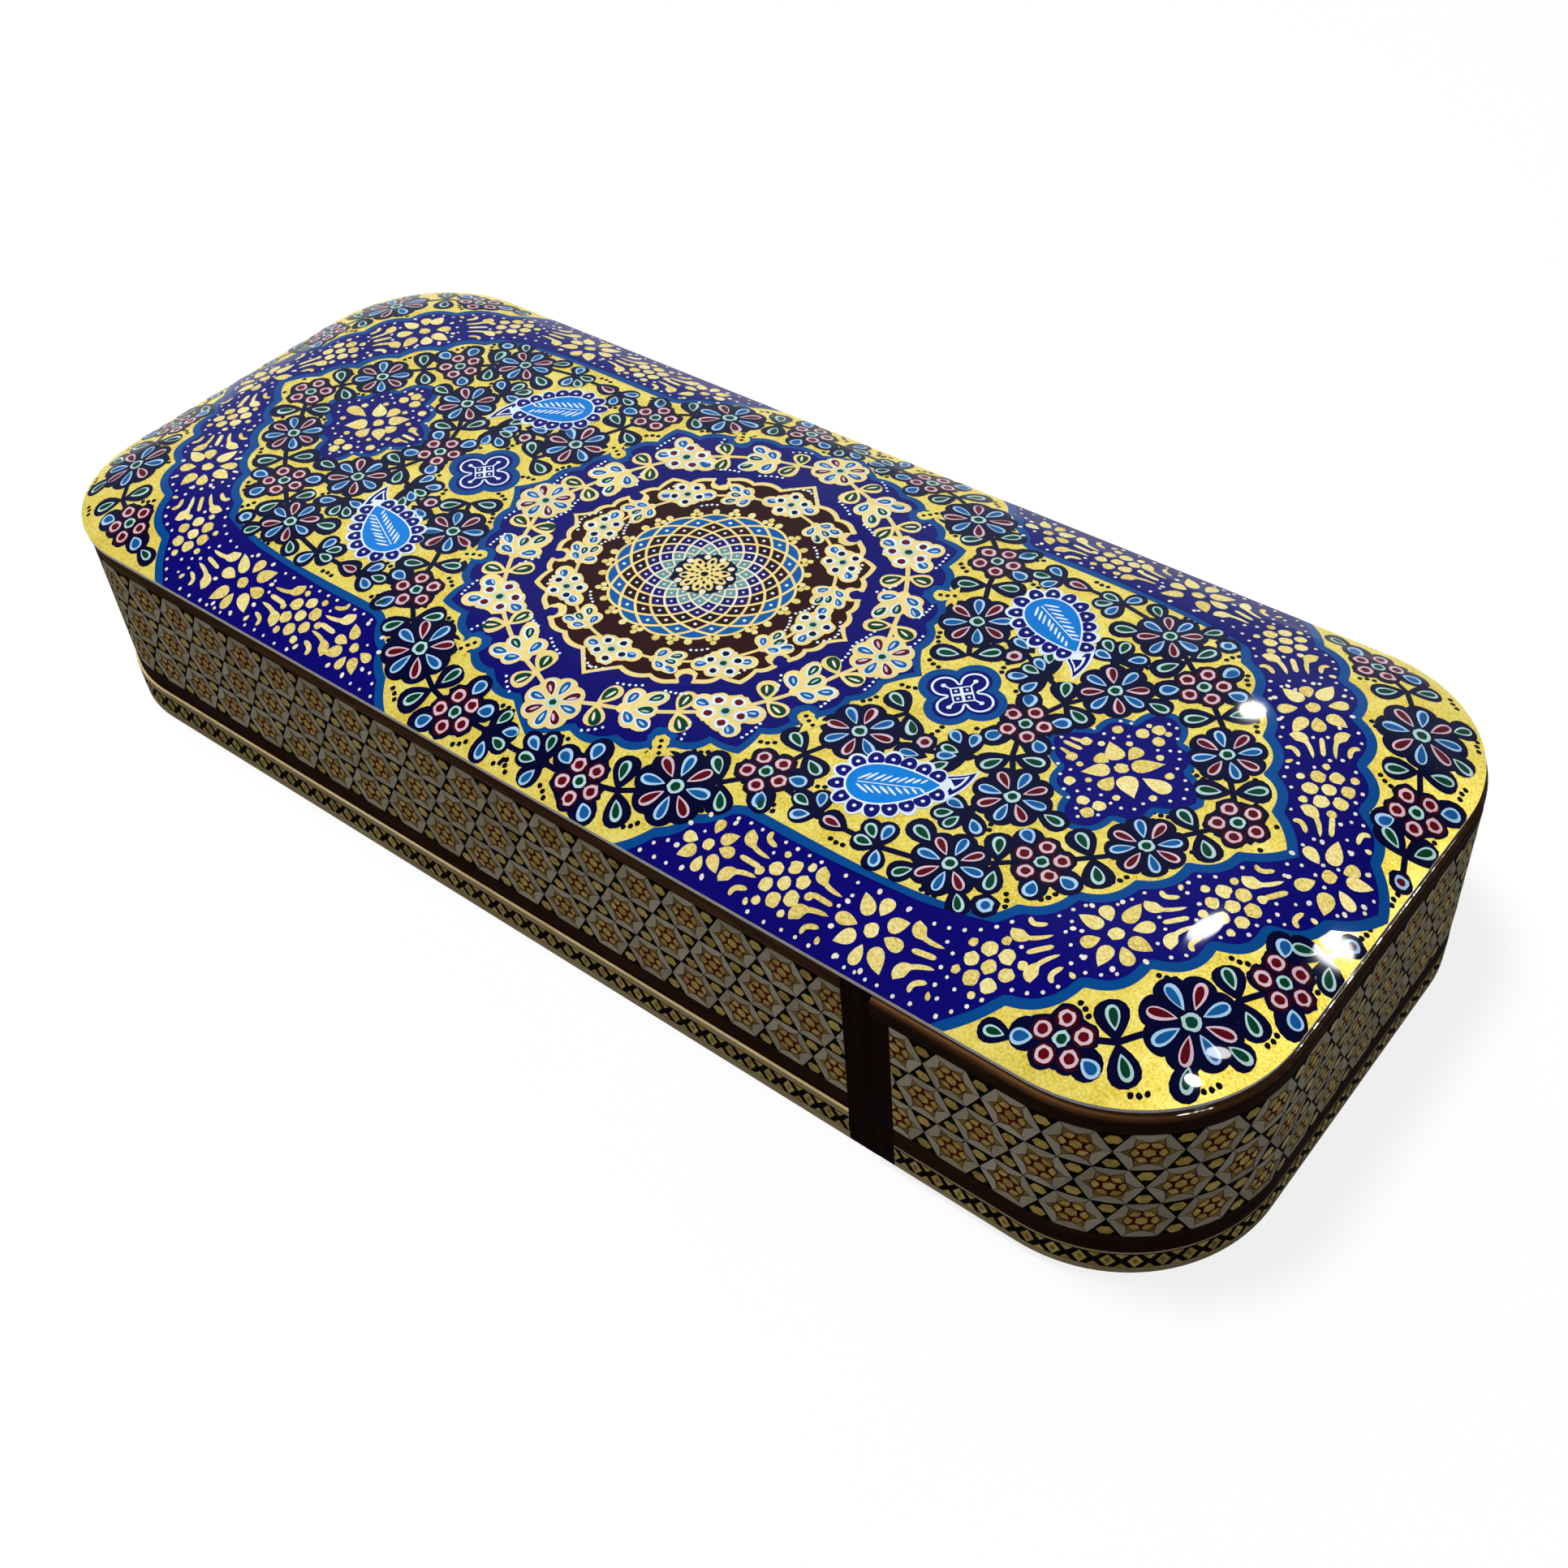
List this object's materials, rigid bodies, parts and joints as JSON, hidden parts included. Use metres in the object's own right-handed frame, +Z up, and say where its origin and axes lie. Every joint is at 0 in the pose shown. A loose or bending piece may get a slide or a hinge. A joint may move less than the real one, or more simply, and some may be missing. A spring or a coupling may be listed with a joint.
{
  "type": "pen box",
  "caption": "Long rounded pen box of inlaid wood: a sleeve with a crowned painted top, and a drawer with a rounded head that slides out endways.",
  "frame": {"origin": "middle of the box's length and width (of the painted top) on the table plane", "axes": "+X along the length towards the drawer head, +Y across the width, +Z up"},
  "size_m": [0.2708, 0.113, 0.0493],
  "materials": {
    "painted_lacquer": "painted ornament in gold, ultramarine and sky blue under clear gloss lacquer",
    "khatam": "khatam marquetry of bone, brass, ebony and red wood under gloss lacquer",
    "walnut": "dark walnut under gloss lacquer",
    "pale_wood": "pale wood strip under gloss lacquer",
    "plain_wood": "plain wood, thinly varnished",
    "felt": "short-pile felt"
  },
  "bodies": {
    "case": {"painted_sheet": "painted_lacquer", "top_board": "plain_wood", "case_floor": "plain_wood", "case_front_wall": "plain_wood", "case_rear_wall": "plain_wood", "case_tail_wall": "plain_wood", "front_end_post": "walnut", "rear_end_post": "walnut", "khatam_front": "khatam", "khatam_rear": "khatam", "khatam_tail": "khatam", "upper_band_front": "walnut", "upper_band_rear": "walnut", "upper_band_tail": "walnut", "lower_band_front": "walnut", "lower_band_rear": "walnut", "lower_band_tail": "walnut", "plinth_top_strip": "pale_wood", "plinth_border": "khatam", "plinth_foot_strip": "pale_wood"},
    "drawer": {"tray_floor": "plain_wood", "tray_front_wall": "plain_wood", "tray_rear_wall": "plain_wood", "tray_tail_wall": "plain_wood", "tray_divider": "plain_wood", "pen_lining": "felt", "ink_lining": "felt", "head_core": "plain_wood", "head_base": "plain_wood", "head_khatam": "khatam", "head_rim": "walnut", "head_lower_band": "walnut", "head_top_line": "pale_wood", "head_border": "khatam", "head_foot_strip": "pale_wood", "head_front_stile": "walnut", "head_rear_stile": "walnut"}
  },
  "joints": [
    {"name": "drawer_slide", "type": "slide", "parent": "case", "child": "drawer", "axis": [1, 0, 0], "range_m": [0, 0.215]}
  ]
}
